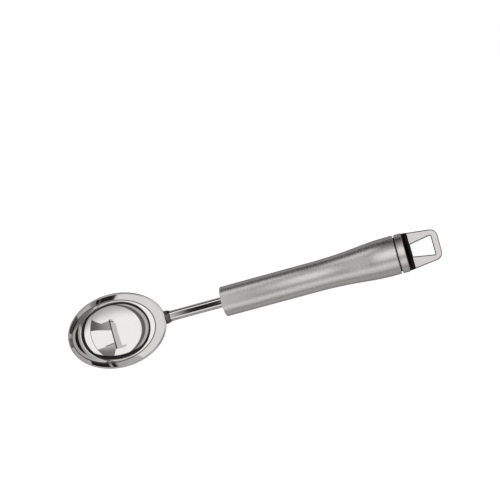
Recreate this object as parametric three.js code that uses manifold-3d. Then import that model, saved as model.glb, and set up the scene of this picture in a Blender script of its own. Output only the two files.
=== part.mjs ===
import * as THREE from 'three';
import { mergeVertices } from 'three/addons/utils/BufferGeometryUtils.js';
import Module from 'manifold-3d';

// Ice cream scoop: a thick polished bowl on a round rod, and a hollow satin handle with a hanging loop.
// Millimetres. X runs from the bowl's tip to the loop, Y is sideways and Z is up.
// The scoop lies level on a table, with the bowl's underside and the handle's rear ring touching it.

// Lengths along the handle, from the bowl's tip to the loop's tip
const bowlLength = 59;
const rodShownLength = 34.2;
const tubeLength = 101.3;
const grooveWidth = 0.7;
const ringLength = 4.3;
const loopLength = 19.3;

// Rod and handle diameters
const rodDiameter = 6;
const tubeFrontDiameter = 17.2;
const ringDiameter = 22;
const tubeWall = 1.2;
const fitClearance = 0.12;

// Bowl
const bowlWidth = 42.6;
const axisBelowRim = 3.6;
const hollowLength = 41.4;
const hollowWidth = 33.4;
const hollowShift = -1.1;
const deepestShift = -4;
const hollowWallAngle = THREE.MathUtils.degToRad(40);
const lipRise = 1.75;
const creaseLength = 50.4;
const creaseWidth = 35.3;
const creaseShift = -2.2;
const creaseDrop = 0.85;
const creaseStep = 0.35;
const creaseRun = 0.4;
const landLead = 0.3;
const rimEdgeRadius = 0.8;
const bellyFullness = 2.4;

// Flare of the tube: straight at the front, opening towards the loop
const flareStart = 52;
const flareEnd = 97.5;
const flareFrontPull = 0.55;
const flareRearPull = 0.35;
const tubeEdgeRadius = 0.5;

// Plug in the tube's front end and the welds
const plugRecess = 1;
const plugLength = 6;
const rodTail = 8;
const rodRootDepth = 10;
const turnedChamfer = 0.4;
const plugWeldLeg = 1.8;
const bowlWeldReach = 2.6;
const bowlWeldRadius = 3.8;
const bowlWeldToe = 0.1;
const weldGap = 0.3;

// Hanging loop
const loopThickness = 3;
const loopSideSlope = THREE.MathUtils.degToRad(6.6);
const loopCornerRadius = 4;
const loopEdgeRound = 0.4;
const loopTipBar = 3.8;
const holeLength = 12.75;
const holeNarrowWidth = 6.4;
const holeWideWidth = 11.2;
const holeCornerRadius = 1.6;
const holeNarrowCornerRadius = 0.5;
const loopRootInset = 0.05;
const shoulderLength = 3.3;
const coveReach = 0.2;
const coveDip = 0.35;
const coveSink = 0.2;
const spigotLength = 3;

// Worked-out sizes
const rodRadius = rodDiameter / 2;
const ringRadius = ringDiameter / 2;
const tubeFrontRadius = tubeFrontDiameter / 2;
const bellyDepth = axisBelowRim + ringRadius;
const hollowCapDepth = (hollowLength / 2) * Math.tan(hollowWallAngle / 2);
const bowlCentreX = -rodShownLength - bowlLength / 2;
const ringStart = tubeLength + grooveWidth;
const ringEnd = ringStart + ringLength;
const loopTip = ringEnd + loopLength;
const shoulderEnd = ringEnd + shoulderLength;
const loopRoot = ringStart + ringLength / 2;
const loopRootHalf = Math.sqrt(ringRadius ** 2 - (loopThickness / 2) ** 2) - loopRootInset;
const roundSegments = 56;
const ovalSegments = 64;

const wasm = await Module();
wasm.setup();

// Closed solid from a surface, and back to a plain surface
function solidOf(geometry) {
  const plain = geometry.clone();
  plain.deleteAttribute('normal');
  plain.deleteAttribute('uv');
  const welded = mergeVertices(plain, 1e-4);
  return new wasm.Manifold(new wasm.Mesh({
    numProp: 3,
    vertProperties: new Float32Array(welded.attributes.position.array),
    triVerts: new Uint32Array(welded.index.array),
  }));
}

function surfaceOf(solid) {
  const mesh = solid.getMesh();
  const geometry = new THREE.BufferGeometry();
  geometry.setAttribute('position', new THREE.BufferAttribute(new Float32Array(mesh.vertProperties), 3));
  geometry.setIndex(new THREE.BufferAttribute(new Uint32Array(mesh.triVerts), 1));
  const flat = geometry.toNonIndexed();
  flat.computeVertexNormals();
  return flat;
}

// Solid turned about the handle's axis from a closed profile of (distance along X, radius) pairs
function turned(profile) {
  const points = [...profile, profile[0]].map(([along, radius]) => new THREE.Vector2(radius, along));
  return new THREE.LatheGeometry(points, roundSegments).rotateZ(-Math.PI / 2);
}

// Solid lofted through oval rings, closed by a point at each end.
// A ring is its half length, half width, height and shift along X.
function loftedOvals(rings, firstPoint, lastPoint) {
  const positions = [...firstPoint];
  for (const ring of rings) {
    for (let step = 0; step < ovalSegments; step += 1) {
      const turn = (2 * Math.PI * step) / ovalSegments;
      positions.push(ring.shift + ring.halfLength * Math.cos(turn), ring.halfWidth * Math.sin(turn), ring.height);
    }
  }
  positions.push(...lastPoint);
  const lastIndex = positions.length / 3 - 1;
  const triangles = [];
  for (let step = 0; step < ovalSegments; step += 1) {
    const next = (step + 1) % ovalSegments;
    triangles.push(0, 1 + step, 1 + next);
    for (let ring = 0; ring + 1 < rings.length; ring += 1) {
      const inner = 1 + ring * ovalSegments;
      const outer = inner + ovalSegments;
      triangles.push(inner + step, outer + step, outer + next);
      triangles.push(inner + step, outer + next, inner + next);
    }
    const lastRing = 1 + (rings.length - 1) * ovalSegments;
    triangles.push(lastRing + step, lastIndex, lastRing + next);
  }
  const geometry = new THREE.BufferGeometry();
  geometry.setAttribute('position', new THREE.Float32BufferAttribute(positions, 3));
  geometry.setIndex(triangles);
  return geometry;
}

// Point on a Bezier curve through the given points
function curvePoint(points, share) {
  let level = points;
  while (level.length > 1) {
    const previous = level;
    level = previous.slice(1).map((point, index) => previous[index].clone().lerp(point, share));
  }
  return level[0];
}

// Rings of the bowl's inside, as half length, half width, height and shift along X.
// A round hollow, deepest towards the tip, then a lip that runs out to a crease below the sloping rim land.
function hollowRings() {
  const capSteps = 12;
  const lipSteps = 10;
  const stations = [];
  for (let step = 1; step < capSteps; step += 1) {
    const angle = (hollowWallAngle * step) / capSteps;
    const share = Math.sin(angle) / Math.sin(hollowWallAngle);
    const rise = hollowCapDepth * (1 - Math.cos(angle)) / (1 - Math.cos(hollowWallAngle));
    stations.push(new THREE.Vector4(
      share * hollowLength / 2, share * hollowWidth / 2, rise - hollowCapDepth - lipRise,
      THREE.MathUtils.lerp(deepestShift, hollowShift, share ** 2)));
  }
  const wall = new THREE.Vector4(hollowLength / 2, hollowWidth / 2, -lipRise, hollowShift);
  const upTheWall = new THREE.Vector4(
    (hollowLength / 2) / Math.tan(hollowWallAngle), (hollowWidth / 2) / Math.tan(hollowWallAngle),
    hollowCapDepth * Math.sin(hollowWallAngle) / (1 - Math.cos(hollowWallAngle)),
    2 * (hollowShift - deepestShift) / Math.tan(hollowWallAngle));
  const crease = new THREE.Vector4(creaseLength / 2, creaseWidth / 2, -creaseDrop, creaseShift);
  const creaseFoot = crease.clone().sub(new THREE.Vector4(creaseRun, creaseRun, creaseStep, 0));
  const rim = new THREE.Vector4(bowlLength / 2 - rimEdgeRadius, bowlWidth / 2 - rimEdgeRadius, 0, 0);
  const lipHeight = lipRise - creaseDrop - creaseStep;
  const wallControl = wall.clone().addScaledVector(upTheWall, lipHeight / (2 * upTheWall.z));
  const footControl = creaseFoot.clone().addScaledVector(crease.clone().sub(rim), landLead);
  for (let step = 0; step <= lipSteps; step += 1) {
    stations.push(curvePoint([wall, wallControl, footControl, creaseFoot], step / lipSteps));
  }
  stations.push(crease);
  return stations.map((station) => ({
    halfLength: station.x, halfWidth: station.y, height: station.z, shift: station.w }));
}

// Rings of the bowl's outside, from the rim's rounded edge down to the belly; spare grows it all round
function bellyRings(spare) {
  const edgeSteps = 3;
  const bellySteps = 13;
  const rings = [];
  for (let step = 0; step <= edgeSteps; step += 1) {
    const angle = (Math.PI / 2) * step / edgeSteps;
    const inset = rimEdgeRadius * (1 - Math.sin(angle));
    rings.push({
      halfLength: bowlLength / 2 - inset + spare,
      halfWidth: bowlWidth / 2 - inset + spare,
      height: spare - rimEdgeRadius * (1 - Math.cos(angle)),
      shift: 0 });
  }
  for (let step = 1; step < bellySteps; step += 1) {
    const angle = (Math.PI / 2) * step / bellySteps;
    const share = Math.cos(angle) ** (2 / bellyFullness);
    const depth = rimEdgeRadius + (bellyDepth - rimEdgeRadius) * Math.sin(angle) ** 2;
    rings.push({
      halfLength: share * bowlLength / 2 + spare,
      halfWidth: share * bowlWidth / 2 + spare,
      height: -depth - spare * Math.sin(angle),
      shift: hollowShift * (1 - share) });
  }
  return rings;
}

// Bowl, standing over its centre with the rim at the right height above the handle's axis
function bowlSolid() {
  const rings = [...hollowRings(), ...bellyRings(0)];
  const deepest = [deepestShift, 0, -hollowCapDepth - lipRise];
  const geometry = loftedOvals(rings, deepest, [hollowShift, 0, -bellyDepth]);
  return solidOf(geometry.translate(bowlCentreX, 0, axisBelowRim));
}

// The bowl without its hollow and a little larger, for trimming the rod and the weld against it
function bowlTrimmer() {
  const geometry = loftedOvals(bellyRings(weldGap), [0, 0, weldGap], [hollowShift, 0, -bellyDepth - weldGap]);
  return solidOf(geometry.translate(bowlCentreX, 0, axisBelowRim));
}

// Weld that flares from the rod out to the bowl's heel and follows the rod under it
function bowlWeldSolid() {
  const inner = rodRadius + fitClearance;
  const tip = -rodShownLength + bowlWeldReach;
  const root = -rodShownLength - rodRootDepth;
  const flare = new THREE.QuadraticBezierCurve(
    new THREE.Vector2(tip, inner + bowlWeldToe),
    new THREE.Vector2(-rodShownLength + bowlWeldReach / 3, inner + bowlWeldToe),
    new THREE.Vector2(-rodShownLength, bowlWeldRadius)).getPoints(8);
  const outside = flare.map((point) => [point.x, point.y]);
  const sleeve = solidOf(turned([[tip, inner], ...outside, [root, bowlWeldRadius], [root, inner]].reverse()));
  return sleeve.subtract(bowlTrimmer());
}

// Handle tube: outside from the rounded front edge to the groove, inside one wall thickness smaller
function tubeProfile() {
  const edgeSteps = 3;
  const frontEdge = [];
  for (let step = 0; step <= edgeSteps; step += 1) {
    const angle = (Math.PI / 2) * step / edgeSteps;
    const back = tubeEdgeRadius * (1 - Math.cos(angle));
    const inset = tubeEdgeRadius * (1 - Math.sin(angle));
    frontEdge.push([back, tubeFrontRadius - inset]);
  }
  const flareRun = flareEnd - flareStart;
  const flare = new THREE.CubicBezierCurve(
    new THREE.Vector2(flareStart, tubeFrontRadius),
    new THREE.Vector2(flareStart + flareFrontPull * flareRun, tubeFrontRadius),
    new THREE.Vector2(flareEnd - flareRearPull * flareRun, ringRadius),
    new THREE.Vector2(flareEnd, ringRadius)).getPoints(16).map((point) => [point.x, point.y]);
  const inside = [[0, tubeFrontRadius], ...flare, [tubeLength, ringRadius]]
    .map(([along, radius]) => [along, radius - tubeWall]);
  return [...frontEdge, ...flare, [tubeLength, ringRadius], ...inside.reverse()];
}

// Plug that closes the tube's front end and carries the rod
function plugProfile() {
  const outer = tubeFrontRadius - tubeWall - fitClearance;
  const bore = rodRadius + fitClearance;
  const back = plugRecess + plugLength;
  return [[plugRecess, bore], [plugRecess, outer], [back, outer], [back, bore]];
}

// Fillet weld between the rod and the plug's rear face
function plugWeldProfile() {
  const inner = rodRadius + fitClearance;
  const front = plugRecess + plugLength + fitClearance;
  return [[front, inner], [front, inner + plugWeldLeg], [front + plugWeldLeg, inner]];
}

// Rod from the bowl's heel, which it is shaped to, through the plug into the tube
function rodSolid() {
  const front = -rodShownLength - rodRootDepth;
  const back = plugRecess + plugLength + rodTail;
  const profile = [
    [front, 0], [front, rodRadius], [back - turnedChamfer, rodRadius], [back, rodRadius - turnedChamfer], [back, 0]];
  return solidOf(turned(profile)).subtract(bowlTrimmer());
}

// Half the loop's width at a place along the handle
function loopHalfWidth(along) {
  return loopRootHalf - (along - loopRoot) * Math.tan(loopSideSlope);
}

// Turned part of the end cap: spigot inside the tube, ring, and a blank that narrows like the loop
function capProfile() {
  const spigotRadius = ringRadius - tubeWall - fitClearance;
  return [
    [tubeLength - spigotLength, 0], [tubeLength - spigotLength, spigotRadius], [ringStart, spigotRadius],
    [ringStart, ringRadius - turnedChamfer], [ringStart + turnedChamfer, ringRadius],
    [ringEnd - turnedChamfer, ringRadius], [ringEnd, ringRadius - turnedChamfer],
    [shoulderEnd, loopHalfWidth(shoulderEnd)], [shoulderEnd, 0]];
}

// Cutter straight across the blank that leaves a hollow shoulder between the ring and the loop's upper face
function shoulderCutter() {
  const above = ringRadius + shoulderLength;
  const beyond = shoulderEnd + shoulderLength;
  const foot = loopThickness / 2 - coveSink;
  const side = new THREE.Shape();
  side.moveTo(ringEnd, above);
  side.lineTo(ringEnd, ringRadius);
  side.quadraticCurveTo(ringEnd + coveReach * shoulderLength, coveDip * ringRadius, shoulderEnd, foot);
  side.lineTo(beyond, foot);
  side.lineTo(beyond, above);
  const geometry = new THREE.ExtrudeGeometry(side, { depth: 2 * above, bevelEnabled: false, curveSegments: 8 });
  return geometry.rotateX(Math.PI / 2).translate(0, above, 0);
}

// End cap: the turned part, hollowed above and below, with the loop joined on
function capSolid() {
  const upper = solidOf(shoulderCutter());
  const lower = solidOf(shoulderCutter().rotateX(Math.PI));
  return solidOf(turned(capProfile())).subtract(upper).subtract(lower).add(solidOf(loopGeometry()));
}

// Outline with rounded corners through the given points; each corner has its own radius
function roundedOutline(path, corners) {
  corners.forEach(({ at, radius }, index) => {
    const before = corners[(index + corners.length - 1) % corners.length].at;
    const after = corners[(index + 1) % corners.length].at;
    const towardsBefore = before.clone().sub(at).normalize();
    const towardsAfter = after.clone().sub(at).normalize();
    const halfAngle = Math.acos(towardsBefore.dot(towardsAfter)) / 2;
    const start = at.clone().addScaledVector(towardsBefore, radius / Math.tan(halfAngle));
    const end = at.clone().addScaledVector(towardsAfter, radius / Math.tan(halfAngle));
    if (index === 0) path.moveTo(start.x, start.y);
    else path.lineTo(start.x, start.y);
    if (radius > 0) path.quadraticCurveTo(at.x, at.y, end.x, end.y);
  });
  path.closePath();
  return path;
}

// Flat loop with its wedge-shaped hanging hole
function loopGeometry() {
  const tip = loopTip - loopEdgeRound;
  const rootHalf = loopRootHalf - loopEdgeRound;
  const tipHalf = loopHalfWidth(tip) - loopEdgeRound;
  const outline = roundedOutline(new THREE.Shape(), [
    { at: new THREE.Vector2(loopRoot, -rootHalf), radius: 0 },
    { at: new THREE.Vector2(tip, -tipHalf), radius: loopCornerRadius },
    { at: new THREE.Vector2(tip, tipHalf), radius: loopCornerRadius },
    { at: new THREE.Vector2(loopRoot, rootHalf), radius: 0 }]);
  const holeEnd = loopTip - loopTipBar + loopEdgeRound;
  const holeStart = holeEnd - holeLength - 2 * loopEdgeRound;
  const narrowHalf = holeNarrowWidth / 2 + loopEdgeRound;
  const wideHalf = holeWideWidth / 2 + loopEdgeRound;
  outline.holes.push(roundedOutline(new THREE.Path(), [
    { at: new THREE.Vector2(holeStart, narrowHalf), radius: holeNarrowCornerRadius },
    { at: new THREE.Vector2(holeEnd, wideHalf), radius: holeCornerRadius },
    { at: new THREE.Vector2(holeEnd, -wideHalf), radius: holeCornerRadius },
    { at: new THREE.Vector2(holeStart, -narrowHalf), radius: holeNarrowCornerRadius }]));
  const flatThickness = loopThickness - 2 * loopEdgeRound;
  const geometry = new THREE.ExtrudeGeometry(outline, {
    depth: flatThickness, steps: 1, curveSegments: 6,
    bevelEnabled: true, bevelThickness: loopEdgeRound, bevelSize: loopEdgeRound, bevelSegments: 2 });
  return geometry.translate(0, 0, -flatThickness / 2);
}

// Finishes: mirror polish on the bowl and rod, satin on the handle, dull filler metal in the welds
function steel(colour, roughness) {
  return new THREE.MeshStandardMaterial({ color: colour, metalness: 1, roughness });
}
const polished = steel(0xd8d6d2, 0.06);
const satin = steel(0xbdb9b4, 0.32);
const filler = steel(0x8d8a86, 0.4);
const bare = steel(0xa9a7a3, 0.45);

function piece(name, geometry, material) {
  const mesh = new THREE.Mesh(geometry, material);
  mesh.name = name;
  return mesh;
}

const scoop = new THREE.Group();
scoop.name = 'ice_cream_scoop';
scoop.add(
  piece('scoop_bowl', surfaceOf(bowlSolid()), polished),
  piece('bowl_weld', surfaceOf(bowlWeldSolid()), filler),
  piece('shank_rod', surfaceOf(rodSolid()), polished),
  piece('front_plug', turned(plugProfile()), bare),
  piece('plug_weld', turned(plugWeldProfile()), filler),
  piece('handle_tube', turned(tubeProfile()), satin),
  piece('hanging_end_cap', surfaceOf(capSolid()), satin));

// Origin under the middle of the scoop's length, on the table
const middleX = (loopTip - rodShownLength - bowlLength) / 2;
scoop.children.forEach((mesh) => mesh.position.set(-middleX, 0, ringRadius));

export default scoop;
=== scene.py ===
import math

import bmesh
import bpy
from mathutils import Matrix, Vector


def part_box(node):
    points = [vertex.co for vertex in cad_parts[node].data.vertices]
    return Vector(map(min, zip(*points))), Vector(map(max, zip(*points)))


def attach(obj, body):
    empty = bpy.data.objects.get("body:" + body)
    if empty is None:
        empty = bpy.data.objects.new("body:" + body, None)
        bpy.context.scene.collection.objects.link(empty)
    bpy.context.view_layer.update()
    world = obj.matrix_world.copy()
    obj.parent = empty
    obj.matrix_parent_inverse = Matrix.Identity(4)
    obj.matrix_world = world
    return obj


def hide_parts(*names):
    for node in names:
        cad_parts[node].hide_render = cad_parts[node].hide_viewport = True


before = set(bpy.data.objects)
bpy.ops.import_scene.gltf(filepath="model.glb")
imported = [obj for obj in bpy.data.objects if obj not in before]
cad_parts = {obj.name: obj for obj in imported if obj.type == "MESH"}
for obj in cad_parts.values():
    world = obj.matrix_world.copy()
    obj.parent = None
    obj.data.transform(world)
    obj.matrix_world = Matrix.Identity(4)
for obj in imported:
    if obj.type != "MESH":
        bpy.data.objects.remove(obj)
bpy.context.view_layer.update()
scene = bpy.context.scene

# Camera
# It looks almost straight down on the scoop's open side and is rolled, so that the handle rises to the right.
# The place, the aim and the roll were fitted to marks on the bowl, the handle and the loop in the photograph.
camera_place = Vector((0.0927, 0.0, 0.6445))
camera_aim = Vector((0.0062, 0.0243, 0.0110))
camera_roll = math.radians(15.5)
camera_data = bpy.data.cameras.new("photo_camera")
camera_data.sensor_width = 36.0
camera_data.lens = 81.36
camera = bpy.data.objects.new("photo_camera", camera_data)
scene.collection.objects.link(camera)
backwards = (camera_place - camera_aim).normalized()
level_right = (Vector((1, 0, 0)) - backwards * backwards.x).normalized()
level_up = backwards.cross(level_right)
right = level_right * math.cos(camera_roll) - level_up * math.sin(camera_roll)
up = backwards.cross(right)
camera.matrix_world = Matrix.Translation(camera_place) @ Matrix((right, up, backwards)).transposed().to_4x4()
scene.camera = camera

# Bowl
# A thick oval spoon of cast stainless steel, ground and polished to a mirror inside and out.
# The hollow is deepest towards the tip, and a sloping land runs round it, widest at the heel.
millimetre = 0.001


def box_of(node):
    """Corners of a CAD node's box in millimetres."""
    low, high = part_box(node)
    return Vector(low) / millimetre, Vector(high) / millimetre


def skinned(name, rings, shades=None, sharp_degrees=40):
    """Smooth closed mesh in metres through rings of points in millimetres; a ring of one point closes an end.

    The shades, a list for each ring, are kept in the mesh for the material to read.
    """
    mesh = bpy.data.meshes.new(name)
    form = bmesh.new()
    rows = [[form.verts.new(Vector(point) * millimetre) for point in ring] for ring in rings]
    for inner, outer in zip(rows, rows[1:]):
        count = max(len(inner), len(outer))
        for step in range(count):
            after = (step + 1) % count
            corners = [inner[step % len(inner)], outer[step % len(outer)]]
            if len(outer) > 1:
                corners.append(outer[after])
            if len(inner) > 1:
                corners.append(inner[after])
            form.faces.new(corners)
    bmesh.ops.recalc_face_normals(form, faces=form.faces)
    for face in form.faces:
        face.smooth = True
    form.to_mesh(mesh)
    form.free()
    mesh.set_sharp_from_angle(angle=math.radians(sharp_degrees))
    if shades:
        shade = mesh.attributes.new("shade", "FLOAT", "POINT")
        shade.data.foreach_set("value", [value for ring_shades in shades for value in ring_shades])
    piece = bpy.data.objects.new(name, mesh)
    scene.collection.objects.link(piece)
    return piece


def blend(first, second, share):
    return first + (second - first) * share


def bezier(points, share):
    """Point on a Bezier curve through tuples of numbers."""
    level = [tuple(point) for point in points]
    while len(level) > 1:
        level = [tuple(blend(a, b, share) for a, b in zip(p, q)) for p, q in zip(level, level[1:])]
    return level[0]


bowl_low, bowl_high = box_of("scoop_bowl")
bowl_centre = (bowl_low.x + bowl_high.x) / 2
half_length = (bowl_high.x - bowl_low.x) / 2
half_width = bowl_high.y
rim_height = bowl_high.z
belly_depth = bowl_high.z - bowl_low.z
belly_fullness = 2.4
edge_radius = 0.8
hollow_half_length, hollow_half_width = 20.7, 16.7
hollow_shift, deepest_shift = -1.1, -4.0
wall_angle = math.radians(40)
cap_depth = hollow_half_length * math.tan(wall_angle / 2)
lip_rise = 1.75
crease_half_length, crease_half_width = 25.2, 17.65
crease_shift = -2.2
crease_drop, crease_step, crease_run = 0.85, 0.35, 0.4
land_lead = 0.3
oval_points = 256
cap_steps, lip_steps, land_steps, edge_steps, belly_steps = 40, 40, 12, 8, 48


def oval(station):
    """Level oval from its half length, half width, height above the rim and shift along the handle."""
    long_half, wide_half, height, shift = station
    turns = [2 * math.pi * step / oval_points for step in range(oval_points)]
    middle = bowl_centre + shift
    return [(middle + long_half * math.cos(turn), wide_half * math.sin(turn), rim_height + height)
            for turn in turns]


def belly_station(depth):
    """The bowl's outside at a depth below the rim."""
    deep = max(0.0, depth - edge_radius) / (belly_depth - edge_radius)
    share = (1 - deep) ** (1 / belly_fullness)
    return half_length * share, half_width * share, -depth, hollow_shift * (1 - share)


stations = []
for step in range(1, cap_steps):
    angle = wall_angle * step / cap_steps
    share = math.sin(angle) / math.sin(wall_angle)
    rise = cap_depth * (1 - math.cos(angle)) / (1 - math.cos(wall_angle))
    stations.append((hollow_half_length * share, hollow_half_width * share, rise - cap_depth - lip_rise,
                     blend(deepest_shift, hollow_shift, share ** 2)))
wall = (hollow_half_length, hollow_half_width, -lip_rise, hollow_shift)
up_the_wall = (hollow_half_length / math.tan(wall_angle), hollow_half_width / math.tan(wall_angle),
               cap_depth * math.sin(wall_angle) / (1 - math.cos(wall_angle)),
               2 * (hollow_shift - deepest_shift) / math.tan(wall_angle))
crease = (crease_half_length, crease_half_width, -crease_drop, crease_shift)
foot = (crease_half_length - crease_run, crease_half_width - crease_run,
        -crease_drop - crease_step, crease_shift)
rim = (half_length - edge_radius, half_width - edge_radius, 0, 0)
reach = (foot[2] - wall[2]) / (2 * up_the_wall[2])
wall_control = tuple(w + u * reach for w, u in zip(wall, up_the_wall))
foot_control = tuple(f + (c - r) * land_lead for f, c, r in zip(foot, crease, rim))

# The finish is brightest in the hollow, duller on the land and ground towards the tip; the dark line at the
# crease is painted shade.
polished_ring = [0.0] * oval_points
land_shade, ground_shade, crease_shade = 0.24, 0.66, 1.0
shades = [polished_ring] * len(stations)
ground_from, ground_to = math.cos(math.radians(75)), math.cos(math.radians(140))
ground_share_of_lip = 0.25
tip_side = [math.cos(2 * math.pi * step / oval_points) for step in range(oval_points)]
tip_side = [max(0.0, min(1.0, (ground_from - side) / (ground_from - ground_to))) for side in tip_side]
for step in range(lip_steps + 1):
    share = step / lip_steps
    stations.append(bezier((wall, wall_control, foot_control, foot), share))
    shades.append([ground_shade * side * min(1.0, share / ground_share_of_lip) for side in tip_side])
# Painted shade: the crease's ring takes the full dark third colour and is drawn as a dark line.
shades[-1] = [crease_shade] * oval_points
for step in range(land_steps):
    stations.append(tuple(blend(c, r, step / land_steps) for c, r in zip(crease, rim)))
    shades.append([blend(land_shade, ground_shade, side) for side in tip_side] if step else shades[-1])
for step in range(edge_steps):
    angle = math.pi / 2 * step / edge_steps
    grown = edge_radius * math.sin(angle)
    stations.append((rim[0] + grown, rim[1] + grown, -edge_radius * (1 - math.cos(angle)), 0))
    shades.append([blend(land_shade, ground_shade, side) * (1.0 - step / edge_steps) for side in tip_side])
for step in range(belly_steps):
    angle = math.pi / 2 * step / belly_steps
    stations.append(belly_station(blend(edge_radius, belly_depth, math.sin(angle) ** 2)))
    shades.append(polished_ring)
deepest = (bowl_centre + deepest_shift, 0, rim_height - cap_depth - lip_rise)
lowest = (bowl_centre + hollow_shift, 0, bowl_low.z)
bowl_rings = [[deepest]] + [oval(station) for station in stations] + [[lowest]]
bowl = skinned("polished_bowl", bowl_rings, [[0.0]] + shades + [[0.0]])


def grain_group():
    """Fine uneven grain that every steel finish shares: a tone and a height from stretched noise."""
    group = bpy.data.node_groups.new("steel_grain", "ShaderNodeTree")
    group.interface.new_socket("Vector", in_out="INPUT", socket_type="NodeSocketVector")
    group.interface.new_socket("Scale", in_out="INPUT", socket_type="NodeSocketFloat")
    group.interface.new_socket("Stretch", in_out="INPUT", socket_type="NodeSocketVector")
    group.interface.new_socket("Tone", in_out="OUTPUT", socket_type="NodeSocketFloat")
    group.interface.new_socket("Height", in_out="OUTPUT", socket_type="NodeSocketFloat")
    taken = group.nodes.new("NodeGroupInput")
    given = group.nodes.new("NodeGroupOutput")
    stretched = group.nodes.new("ShaderNodeVectorMath")
    stretched.operation = "MULTIPLY"
    noise = group.nodes.new("ShaderNodeTexNoise")
    noise.inputs["Detail"].default_value = 4.0
    spread = group.nodes.new("ShaderNodeMapRange")
    spread.inputs["From Min"].default_value = 0.3
    spread.inputs["From Max"].default_value = 0.7
    group.links.new(taken.outputs["Vector"], stretched.inputs[0])
    group.links.new(taken.outputs["Stretch"], stretched.inputs[1])
    group.links.new(stretched.outputs[0], noise.inputs["Vector"])
    group.links.new(taken.outputs["Scale"], noise.inputs["Scale"])
    group.links.new(noise.outputs["Fac"], spread.inputs["Value"])
    group.links.new(spread.outputs["Result"], given.inputs["Tone"])
    group.links.new(noise.outputs["Fac"], given.inputs["Height"])
    return group


steel_grain = grain_group()


def steel(name, grain_scale, stretch, colours, roughness, bump):
    """Metal whose colour and roughness follow the grain between two values.

    Parts with a shade turn to the third colour: painted shade in the bowl's crease and the cap's groove,
    shoulder and loop edges, and a duller ground finish on the bowl's land and tip.
    """
    material = bpy.data.materials.new(name)
    material.use_nodes = True
    nodes, links = material.node_tree.nodes, material.node_tree.links
    shader = nodes["Principled BSDF"]
    shader.inputs["Metallic"].default_value = 1.0
    shader.inputs["Specular Tint"].default_value = (0.3, 0.28, 0.27, 1)
    coordinates = nodes.new("ShaderNodeTexCoord")
    grain = nodes.new("ShaderNodeGroup")
    grain.node_tree = steel_grain
    grain.inputs["Scale"].default_value = grain_scale
    grain.inputs["Stretch"].default_value = stretch
    links.new(coordinates.outputs["Object"], grain.inputs["Vector"])
    tint = nodes.new("ShaderNodeMix")
    tint.data_type = "RGBA"
    tint.inputs["A"].default_value = (*colours[0], 1)
    tint.inputs["B"].default_value = (*colours[1], 1)
    links.new(grain.outputs["Tone"], tint.inputs["Factor"])
    shaded = nodes.new("ShaderNodeMix")
    shaded.data_type = "RGBA"
    shaded.inputs["B"].default_value = (*colours[2], 1)
    shade = nodes.new("ShaderNodeAttribute")
    shade.attribute_name = "shade"
    links.new(shade.outputs["Fac"], shaded.inputs["Factor"])
    links.new(tint.outputs["Result"], shaded.inputs["A"])
    links.new(shaded.outputs["Result"], shader.inputs["Base Color"])
    rough = nodes.new("ShaderNodeMapRange")
    rough.inputs["To Min"].default_value = roughness[0]
    rough.inputs["To Max"].default_value = roughness[1]
    links.new(grain.outputs["Tone"], rough.inputs["Value"])
    links.new(rough.outputs["Result"], shader.inputs["Roughness"])
    if bump:
        relief = nodes.new("ShaderNodeBump")
        relief.inputs["Strength"].default_value = bump
        relief.inputs["Distance"].default_value = 0.05 * millimetre
        links.new(grain.outputs["Height"], relief.inputs["Height"])
        links.new(relief.outputs["Normal"], shader.inputs["Normal"])
    return material


def finish(piece, material):
    piece.data.materials.clear()
    piece.data.materials.append(material)


# Its third colour darkens the bowl's land and ground tip, and along the crease it is painted shade.
polished_steel = steel("polished_steel", 160, (1, 1, 1),
                       ((0.82, 0.81, 0.79), (0.85, 0.84, 0.82), (0.11, 0.09, 0.08)), (0.02, 0.04), 0)
finish(bowl, polished_steel)
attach(bowl, "root")
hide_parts("scoop_bowl")

# Rod
# A round bar of stainless steel, polished like the bowl, that joins the bowl to the handle.
# Its front end is shaped to the bowl's heel, and its hidden rear end runs through a plug in the handle.
rod_low, rod_high = box_of("shank_rod")
tube_low, tube_high = box_of("handle_tube")
axis_height = (tube_low.z + tube_high.z) / 2
rod_radius = rod_high.y
rod_chamfer = 0.4
heel_overlap = 0.3
square_from = bowl_high.x + 1
round_points = 160


def heel_at(across, height):
    """Where the bowl's outside lies along the handle, beside the axis and above or below it."""
    long_half, wide_half, _, shift = belly_station(rim_height - axis_height - height)
    return bowl_centre + shift + long_half * math.sqrt(1 - (across / wide_half) ** 2)


def round_ring(radius, along=None, flat=math.inf):
    """Ring about the handle's axis, square to it or, with no place given, sunk in the bowl's heel.

    It may be flattened above and below at some height.
    """
    ring = []
    for step in range(round_points):
        turn = 2 * math.pi * step / round_points
        across = radius * math.cos(turn)
        height = max(-flat, min(flat, radius * math.sin(turn)))
        place = heel_at(across, height) - heel_overlap if along is None else along
        ring.append((place, across, axis_height + height))
    return ring


rod_front = [(heel_at(0, 0) - heel_overlap, 0, axis_height)]
rod_back = [(rod_high.x, 0, axis_height)]
rod_rings = [round_ring(rod_radius), round_ring(rod_radius, square_from),
             round_ring(rod_radius, rod_high.x - rod_chamfer),
             round_ring(rod_radius - rod_chamfer, rod_high.x)]
rod = skinned("polished_rod", [rod_front] + rod_rings + [rod_back])
finish(rod, polished_steel)
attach(rod, "root")
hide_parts("shank_rod")

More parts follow.
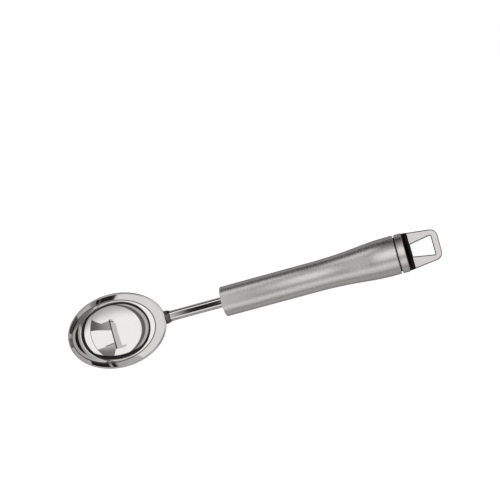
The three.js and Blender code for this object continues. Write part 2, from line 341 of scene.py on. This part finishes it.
# Weld at the bowl
# A short collar of weld metal that flares from the rod to the bowl's heel and runs on under it.
# It is left dark and speckled from the heat, with the overlapping beads of a weld made in one turn.
weld_low, weld_high = box_of("bowl_weld")
weld_radius = weld_high.y
weld_toe, rod_overlap = 0.22, 0.1
weld_toe_radius = rod_radius + weld_toe
weld_inside_radius = rod_radius - rod_overlap
weld_steps = 12
weld_start, weld_end = bowl_high.x, weld_high.x
weld_curve = ((weld_start, weld_radius), (blend(weld_start, weld_end, 1 / 3), weld_toe_radius),
              (weld_end, weld_toe_radius))
weld_profile = [bezier(weld_curve, step / weld_steps) for step in range(weld_steps + 1)]
weld_rings = [round_ring(weld_inside_radius), round_ring(weld_radius)]
weld_rings += [round_ring(radius, along) for along, radius in weld_profile]
weld_rings += [round_ring(weld_inside_radius, weld_end), round_ring(weld_inside_radius)]
weld = skinned("weld_collar", weld_rings)


def bead_tree():
    """Geometry Nodes that lay beads in a ring about the handle's axis and join them to the collar."""
    tree = bpy.data.node_groups.new("weld_beads", "GeometryNodeTree")
    tree.interface.new_socket("Geometry", in_out="OUTPUT", socket_type="NodeSocketGeometry")
    kinds = {"Geometry": "Geometry", "Place": "Vector", "Radius": "Float", "Beads": "Int",
             "Bead Size": "Vector", "Material": "Material"}
    for name, kind in kinds.items():
        tree.interface.new_socket(name, in_out="INPUT", socket_type="NodeSocket" + kind)
    taken = tree.nodes.new("NodeGroupInput")
    circle = tree.nodes.new("GeometryNodeCurvePrimitiveCircle")
    placed = tree.nodes.new("GeometryNodeTransform")
    spread = tree.nodes.new("GeometryNodeCurveToPoints")
    bead = tree.nodes.new("GeometryNodeMeshIcoSphere")
    laid = tree.nodes.new("GeometryNodeInstanceOnPoints")
    smooth = tree.nodes.new("GeometryNodeSetShadeSmooth")
    joined = tree.nodes.new("GeometryNodeJoinGeometry")
    real = tree.nodes.new("GeometryNodeRealizeInstances")
    painted = tree.nodes.new("GeometryNodeSetMaterial")
    given = tree.nodes.new("NodeGroupOutput")
    placed.inputs["Rotation"].default_value = (0, math.pi / 2, 0)
    bead.inputs["Radius"].default_value = 1.0
    bead.inputs["Subdivisions"].default_value = 3
    for start, end in ((taken.outputs["Radius"], circle.inputs["Radius"]),
                       (circle.outputs["Curve"], placed.inputs["Geometry"]),
                       (taken.outputs["Place"], placed.inputs["Translation"]),
                       (placed.outputs["Geometry"], spread.inputs["Curve"]),
                       (taken.outputs["Beads"], spread.inputs["Count"]),
                       (spread.outputs["Points"], laid.inputs["Points"]),
                       (spread.outputs["Rotation"], laid.inputs["Rotation"]),
                       (bead.outputs["Mesh"], laid.inputs["Instance"]),
                       (taken.outputs["Bead Size"], laid.inputs["Scale"]),
                       (laid.outputs["Instances"], smooth.inputs["Geometry"]),
                       (smooth.outputs["Geometry"], joined.inputs["Geometry"]),
                       (taken.outputs["Geometry"], joined.inputs["Geometry"]),
                       (joined.outputs["Geometry"], real.inputs["Geometry"]),
                       (real.outputs["Geometry"], painted.inputs["Geometry"]),
                       (taken.outputs["Material"], painted.inputs["Material"]),
                       (painted.outputs["Geometry"], given.inputs["Geometry"])):
        tree.links.new(start, end)
    return tree


weld_metal = steel("weld_metal", 900, (1, 1, 1),
                   ((0.02, 0.018, 0.016), (0.3, 0.27, 0.24), (0.07, 0.065, 0.06)), (0.15, 0.35), 0.3)
bead_share, bead_sink = 0.35, 0.15
bead_along, bead_radius = bezier(weld_curve, bead_share)
bead_values = {"Place": Vector((bead_along, 0, axis_height)) * millimetre,
               "Radius": (bead_radius - bead_sink) * millimetre, "Beads": 14,
               "Bead Size": Vector((0.75, 0.45, 0.85)) * millimetre, "Material": weld_metal}
beads = weld.modifiers.new("weld_beads", "NODES")
beads.node_group = bead_tree()
for item in beads.node_group.interface.items_tree:
    if item.in_out == "INPUT" and item.name in bead_values:
        beads[item.identifier] = bead_values[item.name]
beaded = bpy.data.meshes.new_from_object(weld.evaluated_get(bpy.context.evaluated_depsgraph_get()))
weld.modifiers.remove(beads)
weld.data = beaded
finish(weld, weld_metal)
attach(weld, "root")
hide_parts("bowl_weld")

# Front plug
# A turned steel plug, set back in the handle's front end, that carries the rod, with a weld behind it.
# Both keep their CAD form: the plug's face is seen only from the front and the weld is inside the handle.
bare_steel = steel("bare_steel", 700, (0.1, 1, 1),
                   ((0.52, 0.52, 0.50), (0.62, 0.62, 0.60), (0.5, 0.5, 0.5)), (0.3, 0.45), 0.1)
finish(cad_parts["front_plug"], bare_steel)
finish(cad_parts["plug_weld"], weld_metal)

# Handle tube
# A hollow grip of drawn stainless tube, straight at the front and swelled towards the loop.
# It is brushed round and round to a satin, so that light draws out into long bands.
tube_wall = 1.2
tube_front_radius = 8.6
tube_rear_radius = tube_high.y
front_round, rear_chamfer = 0.5, 0.3
flare_from, flare_to = tube_low.x + 52.0, tube_low.x + 97.5
flare_run = flare_to - flare_from
flare_points = ((flare_from, tube_front_radius), (flare_from + 0.55 * flare_run, tube_front_radius),
                (flare_to - 0.35 * flare_run, tube_rear_radius), (flare_to, tube_rear_radius))
flare_steps = 48
tube_flare = [bezier(flare_points, step / flare_steps) for step in range(flare_steps + 1)]
tube_profile = []
for step in range(edge_steps + 1):
    angle = math.pi / 2 * step / edge_steps
    tube_profile.append((tube_low.x + front_round * (1 - math.cos(angle)),
                         tube_front_radius - front_round * (1 - math.sin(angle))))
tube_profile += tube_flare
tube_profile.append((tube_high.x - rear_chamfer, tube_rear_radius))
tube_profile.append((tube_high.x, tube_rear_radius - rear_chamfer))
tube_inside = [(tube_low.x, tube_front_radius)] + tube_flare + [(tube_high.x, tube_rear_radius)]
tube_profile += [(along, radius - tube_wall) for along, radius in reversed(tube_inside)]
tube_profile.append(tube_profile[0])
tube = skinned("satin_tube", [round_ring(radius, along) for along, radius in tube_profile])
# The third colour is painted shade for the cap's groove, shoulder and loop edges.
satin_steel = steel("satin_steel", 5000, (1, 0.03, 0.03),
                    ((0.74, 0.71, 0.69), (0.80, 0.77, 0.75), (0.05, 0.045, 0.04)), (0.24, 0.28), 0.005)
satin_nodes = satin_steel.node_tree.nodes
satin_shader = satin_nodes["Principled BSDF"]
satin_shader.inputs["Anisotropic"].default_value = 0.8
round_the_axis = satin_nodes.new("ShaderNodeTangent")
round_the_axis.direction_type = "RADIAL"
round_the_axis.axis = "X"
satin_steel.node_tree.links.new(round_the_axis.outputs[0], satin_shader.inputs["Tangent"])
finish(tube, satin_steel)
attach(tube, "root")
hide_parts("handle_tube")

# End cap
# A cast end piece, pressed into the tube: a ring, a hollow shoulder and a flat loop with a wedge-shaped hole.
# Ring and loop are brushed like the tube; the groove before the ring, the deep shoulder and the loop's
# rounded edges are darkened with painted shade.
cap_low, cap_high = box_of("hanging_end_cap")
cap_radius = cap_high.y
cap_chamfer, fit_clearance = 0.4, 0.12
groove = 0.7
ring_length, shoulder_length = 4.3, 3.3
spigot_radius = cap_radius - tube_wall - fit_clearance
ring_start = tube_high.x + groove
ring_end = ring_start + ring_length
loop_half_thickness = 1.5
loop_edge_round = 0.7
spigot_profile = [(cap_low.x, spigot_radius), (ring_start, spigot_radius)]
ring_profile = [(ring_start, cap_radius - cap_chamfer), (ring_start + cap_chamfer, cap_radius),
                (ring_end - cap_chamfer, cap_radius)]
# Painted shade: the groove's floor and the hollow shoulder take the dark third colour.
painted_shade_ring, unshaded_ring = [1.0] * round_points, [0.0] * round_points
cap_shades = [[1.0]] + [painted_shade_ring] * len(spigot_profile) + [unshaded_ring] * len(ring_profile)
cap_rings = [[(cap_low.x, 0, axis_height)]]
cap_rings += [round_ring(radius, along) for along, radius in spigot_profile + ring_profile]
loop_inset, cove_sink = 0.05, 0.2
loop_root = ring_start + ring_length / 2
loop_root_half = math.sqrt(cap_radius ** 2 - loop_half_thickness ** 2) - loop_inset
loop_taper = math.tan(math.radians(6.6))
cove = ((ring_end, cap_radius), (ring_end + 0.2 * shoulder_length, 0.35 * cap_radius),
        (ring_end + shoulder_length, loop_half_thickness - cove_sink))
cove_steps = 16
for step in range(cove_steps + 1):
    along, flat = bezier(cove, step / cove_steps)
    radius = blend(cap_radius - cap_chamfer, loop_root_half - (along - loop_root) * loop_taper,
                   (along - ring_end) / shoulder_length)
    cap_rings.append(round_ring(radius, along, flat))
    cap_shades.append(painted_shade_ring)
cap_rings.append([(ring_end + shoulder_length, 0, axis_height)])
cap = skinned("satin_end_cap", cap_rings, cap_shades + [[1.0]])


def rounded_corners(corners, steps=8):
    """Outline through (x, y, radius) corners, each rounded by a quadratic curve."""
    outline = []
    for index, (x, y, radius) in enumerate(corners):
        at = Vector((x, y))
        before = (Vector(corners[index - 1][:2]) - at).normalized()
        after = (Vector(corners[(index + 1) % len(corners)][:2]) - at).normalized()
        if radius == 0:
            outline.append(at)
            continue
        cut = radius / math.tan(math.acos(before.dot(after)) / 2)
        ends = (tuple(at + before * cut), tuple(at), tuple(at + after * cut))
        outline += [Vector(bezier(ends, step / steps)) for step in range(steps + 1)]
    return outline


loop_tip = cap_high.x - loop_edge_round
root_half = loop_root_half - loop_edge_round
tip_half = root_half - (loop_tip - loop_root) * loop_taper
loop_corner, narrow_corner, wide_corner = 4, 1.0, 1.6
loop_corners = [(loop_root, -root_half, 0), (loop_tip, -tip_half, loop_corner),
                (loop_tip, tip_half, loop_corner), (loop_root, root_half, 0)]
loop_bar, hole_length = 3.8, 12.75
hole_end = cap_high.x - loop_bar + loop_edge_round
hole_start = cap_high.x - loop_bar - hole_length - loop_edge_round
narrow_half, wide_half = 3.2 + loop_edge_round, 5.6 + loop_edge_round
hole_corners = [(hole_start, narrow_half, narrow_corner), (hole_end, wide_half, wide_corner),
                (hole_end, -wide_half, wide_corner), (hole_start, -narrow_half, narrow_corner)]
loop_curve = bpy.data.curves.new("loop_outline", "CURVE")
loop_curve.dimensions = "2D"
loop_curve.fill_mode = "BOTH"
loop_curve.extrude = loop_half_thickness - loop_edge_round
loop_curve.bevel_depth = loop_edge_round
loop_curve.bevel_resolution = 3
for corners in (loop_corners, hole_corners):
    outline = rounded_corners(corners)
    spline = loop_curve.splines.new("POLY")
    spline.points.add(len(outline) - 1)
    for point, corner in zip(spline.points, outline):
        point.co = (corner.x, corner.y, 0, 1)
    spline.use_cyclic_u = True
loop_object = bpy.data.objects.new("loop_outline", loop_curve)
scene.collection.objects.link(loop_object)
loop_mesh = bpy.data.meshes.new_from_object(loop_object.evaluated_get(bpy.context.evaluated_depsgraph_get()))
bpy.data.objects.remove(loop_object)
# Painted shade: the loop's rounded edges turn part way to the dark third colour.
edge_shade = 0.6
face_height = loop_half_thickness - 0.05
loop_shade = loop_mesh.attributes.new("shade", "FLOAT", "POINT")
for vertex, shade in zip(loop_mesh.vertices, loop_shade.data):
    shade.value = edge_shade if abs(vertex.co.z) < face_height else 0.0
loop_mesh.transform(Matrix.Scale(millimetre, 4) @ Matrix.Translation((0, 0, axis_height)))
form = bmesh.new()
form.from_mesh(cap.data)
form.from_mesh(loop_mesh)
bmesh.ops.recalc_face_normals(form, faces=form.faces)
for face in form.faces:
    face.smooth = True
form.to_mesh(cap.data)
form.free()
cap.data.set_sharp_from_angle(angle=math.radians(35))
finish(cap, satin_steel)
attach(cap, "root")
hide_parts("hanging_end_cap")

# Studio
# A white table under a large soft light tent, with no lamps. The table ends a little way behind the handle.
# The tent's gaps, its pole and the dark room round it are what the steel mirrors; the camera sees white.
floor_reach, far_edge = 3.0, 0.05
floor_mesh = bpy.data.meshes.new("floor")
floor_corners = [(-floor_reach, -floor_reach, 0), (floor_reach, -floor_reach, 0),
                 (floor_reach, far_edge, 0), (-floor_reach, far_edge, 0)]
floor_mesh.from_pydata(floor_corners, [], [(0, 1, 2, 3)])
floor = bpy.data.objects.new("floor", floor_mesh)
scene.collection.objects.link(floor)
floor_material = bpy.data.materials.new("white_table")
floor_material.use_nodes = True
floor_nodes, floor_links = floor_material.node_tree.nodes, floor_material.node_tree.links
floor_shader = floor_nodes["Principled BSDF"]
floor_shader.inputs["Base Color"].default_value = (0.5, 0.5, 0.5, 1)
floor_shader.inputs["Roughness"].default_value = 0.8
floor_shader.inputs["Specular IOR Level"].default_value = 0.0
floor_shader.inputs["Emission Color"].default_value = (0.8, 0.8, 0.8, 1)
floor_rays = floor_nodes.new("ShaderNodeLightPath")
floor_seen = floor_nodes.new("ShaderNodeMath")
floor_seen.operation = "MAXIMUM"
floor_mirrored = floor_nodes.new("ShaderNodeMath")
floor_mirrored.operation = "MULTIPLY"
floor_mirrored.inputs[1].default_value = 0.1
floor_links.new(floor_rays.outputs["Is Camera Ray"], floor_seen.inputs[0])
floor_links.new(floor_rays.outputs["Is Glossy Ray"], floor_mirrored.inputs[0])
floor_links.new(floor_mirrored.outputs[0], floor_seen.inputs[1])
floor_links.new(floor_seen.outputs[0], floor_shader.inputs["Emission Strength"])
floor_mesh.materials.append(floor_material)

world = bpy.data.worlds.new("light_tent")
scene.world = world
world.use_nodes = True
sky = world.node_tree
sky.nodes.clear()
direction = sky.nodes.new("ShaderNodeTexCoord")
parts = sky.nodes.new("ShaderNodeSeparateXYZ")
sky.links.new(direction.outputs["Generated"], parts.inputs[0])


def calc(operation, first, second):
    """One step of arithmetic in the sky, on numbers or on the results of other steps."""
    node = sky.nodes.new("ShaderNodeMath")
    node.operation = operation
    for socket, value in zip(node.inputs, (first, second)):
        if isinstance(value, (int, float)):
            socket.default_value = value
        else:
            sky.links.new(value, socket)
    return node.outputs[0]


def rising(value, start, end):
    """A soft step from 0 to 1."""
    node = sky.nodes.new("ShaderNodeMapRange")
    node.interpolation_type = "SMOOTHSTEP"
    node.inputs["From Min"].default_value = start
    node.inputs["From Max"].default_value = end
    sky.links.new(value, node.inputs["Value"])
    return node.outputs["Result"]


def between(value, low, high, soft):
    falling = calc("SUBTRACT", 1, rising(value, high - soft, high + soft))
    return calc("MULTIPLY", rising(value, low - soft, low + soft), falling)


def covered(light, mask, level):
    """The light with a patch of another level laid over it."""
    kept = calc("MULTIPLY", calc("SUBTRACT", 1, mask), light)
    return calc("ADD", kept, calc("MULTIPLY", mask, level))


def patch(light, along_range, across_range, level, soft=1.0):
    """A patch between two angles along the handle and two across it."""
    mask = calc("MULTIPLY", between(along, *along_range, soft), between(across, *across_range, soft))
    return covered(light, mask, level)


# Angles of a direction: from straight up, along the handle and across it, and above the horizon.
# The lean is the angle towards the loop, which changes little along what rod and handle mirror.
degrees = math.degrees(1)
lift = calc("MAXIMUM", parts.outputs["Z"], 0.001)
along = calc("MULTIPLY", calc("ARCTAN2", parts.outputs["X"], lift), degrees)
across = calc("MULTIPLY", calc("ARCTAN2", parts.outputs["Y"], lift), degrees)
elevation = calc("MULTIPLY", calc("ARCSINE", parts.outputs["Z"], 0), degrees)
lean = calc("MULTIPLY", calc("ARCSINE", parts.outputs["X"], 0), degrees)
far_out = 200
cloth, pole_grey, room = 1.0, 0.6, 0.02

# The tent's cloth, which falls off towards the near side, with two darker folds beyond the bowl's tip.
near_side = rising(calc("MULTIPLY", across, -1), 34, 82)
light = calc("SUBTRACT", cloth, calc("MULTIPLY", near_side, 0.55))
light = covered(light, between(along, -77, -71, 1), 0.5)
light = covered(light, between(along, -71, -64, 1), 0.13)

# The foot of the tent's pole, which the gap on the far side hides in part.
light = patch(light, (-41, -15), (48, 55), pole_grey)

# A gap in the cloth on the far side and one on the near side, with slanted edges and shaded across.
far_top = calc("SUBTRACT", across, calc("MULTIPLY", along, 0.385))
far_gap = calc("MULTIPLY", between(far_top, 38, far_out, 1), between(along, -15, 48, 1))
far_light = calc("SUBTRACT", 0.55, calc("MULTIPLY", rising(across, 36, 66), 0.35))
light = covered(light, far_gap, far_light)
near_top = calc("ADD", across, calc("MULTIPLY", along, 0.44))
bend = calc("MAXIMUM", calc("SUBTRACT", along, 10), 0)
near_foot = calc("ADD", across, calc("MULTIPLY", bend, 0.83))
near_gap = calc("MULTIPLY", between(near_top, -far_out, -9.5, 1), between(near_foot, -37, far_out, 1))
near_gap = calc("MULTIPLY", near_gap, between(along, -20, 48, 0.7))
near_light = calc("SUBTRACT", 0.4, calc("MULTIPLY", rising(along, -20, 40), 0.28))
light = covered(light, near_gap, near_light)

# The pole, with a dark edge that the rod mirrors as its stripe, and a bright corner of cloth beside its top.
pole = calc("MULTIPLY", between(lean, -22, -9.7, 0.3), between(across, -40, 55, 1.5))
pole_edge = rising(lean, -12.8, -11.4)
light = covered(light, pole, calc("SUBTRACT", pole_grey, calc("MULTIPLY", pole_edge, pole_grey - room)))
light = patch(light, (-26, -21.5), (-42, -23), cloth)

# Two narrow slits that the bowl's land mirrors as dark blocks, and a seam where both gaps end.
near_slit = between(calc("ADD", across, calc("MULTIPLY", along, 0.73)), -45.5, -43.3, 0.3)
light = covered(light, calc("MULTIPLY", near_slit, between(along, -21.3, -14.5, 0.5)), room)
far_slit = between(calc("SUBTRACT", across, calc("MULTIPLY", along, 0.26)), 37.4, 39.8, 0.3)
light = covered(light, calc("MULTIPLY", far_slit, between(along, -10, 14, 0.5)), room)
light = covered(light, between(along, 47, 49, 0.7), 0.25)

# The dark room under the tent's hem, which hangs lowest on the near side.
light = covered(light, between(along, -far_out, -76.5, 1), room)
light = covered(light, between(along, 70, far_out, 1), room)
light = covered(light, between(elevation, -far_out, 9, 1.5), room)
light = covered(light, between(across, 75, far_out, 1.5), room)
tent_light = sky.nodes.new("ShaderNodeBackground")
sky.links.new(light, tent_light.inputs["Color"])
backdrop = sky.nodes.new("ShaderNodeBackground")
backdrop.inputs["Color"].default_value = (1, 1, 1, 1)
sky_rays = sky.nodes.new("ShaderNodeLightPath")
seen = sky.nodes.new("ShaderNodeMixShader")
sky_output = sky.nodes.new("ShaderNodeOutputWorld")
sky.links.new(sky_rays.outputs["Is Camera Ray"], seen.inputs[0])
sky.links.new(tent_light.outputs[0], seen.inputs[1])
sky.links.new(backdrop.outputs[0], seen.inputs[2])
sky.links.new(seen.outputs[0], sky_output.inputs[0])

scene.view_settings.view_transform = "Standard"
